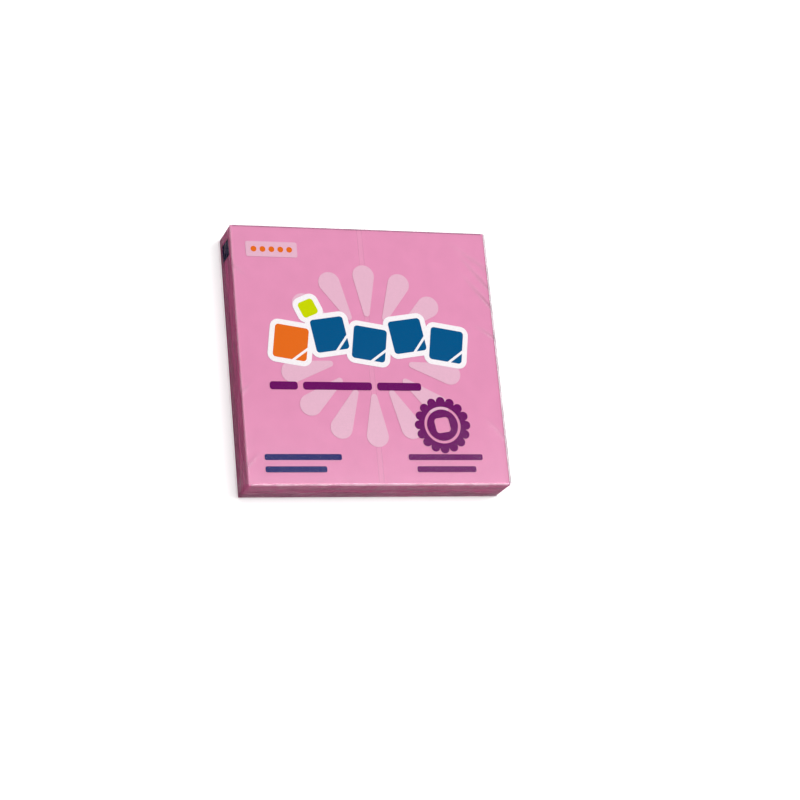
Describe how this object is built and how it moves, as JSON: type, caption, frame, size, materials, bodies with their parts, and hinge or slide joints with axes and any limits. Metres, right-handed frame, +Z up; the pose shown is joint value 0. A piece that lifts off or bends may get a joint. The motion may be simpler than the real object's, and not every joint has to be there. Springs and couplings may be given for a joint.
{
  "type": "sticky note pad",
  "caption": "Square pad of pink sticky notes in a clear, printed film overwrap with envelope-folded ends, lying flat on its back.",
  "frame": {"origin": "middle of the underside of the film wrap", "axes": "+Z up out of the printed face, +X to the right edge and +Y to the far edge of that face; the film's lap seam is on the near side, -Y"},
  "size_m": [0.0766, 0.0765, 0.0125],
  "materials": {
    "note_paper": "uncoated dyed note paper, pink, matte; fine sheet lines on the cut edges",
    "backing_paper": "smooth off-white release-coated sheet",
    "clear_film": "clear glossy wrapping film, softly rippled, with fold edges",
    "clear_tape": "clear tear tape, glossy",
    "tint_ink": "pale pink printing ink behind clear film",
    "white_ink": "white printing ink behind clear film",
    "blue_ink": "blue printing ink behind clear film",
    "orange_ink": "orange printing ink behind clear film",
    "lime_ink": "lime printing ink behind clear film",
    "purple_ink": "purple printing ink behind clear film",
    "navy_ink": "navy printing ink behind clear film"
  },
  "bodies": {
    "root": {"note_block": "note_paper", "backing_sheet": "backing_paper", "film_wrap": "clear_film", "tear_tape": "clear_tape", "eye_mark": "navy_ink", "print_tint": "tint_ink", "print_white": "white_ink", "print_blue": "blue_ink", "print_orange": "orange_ink", "print_lime": "lime_ink", "print_purple": "purple_ink", "print_navy": "navy_ink"}
  },
  "joints": []
}
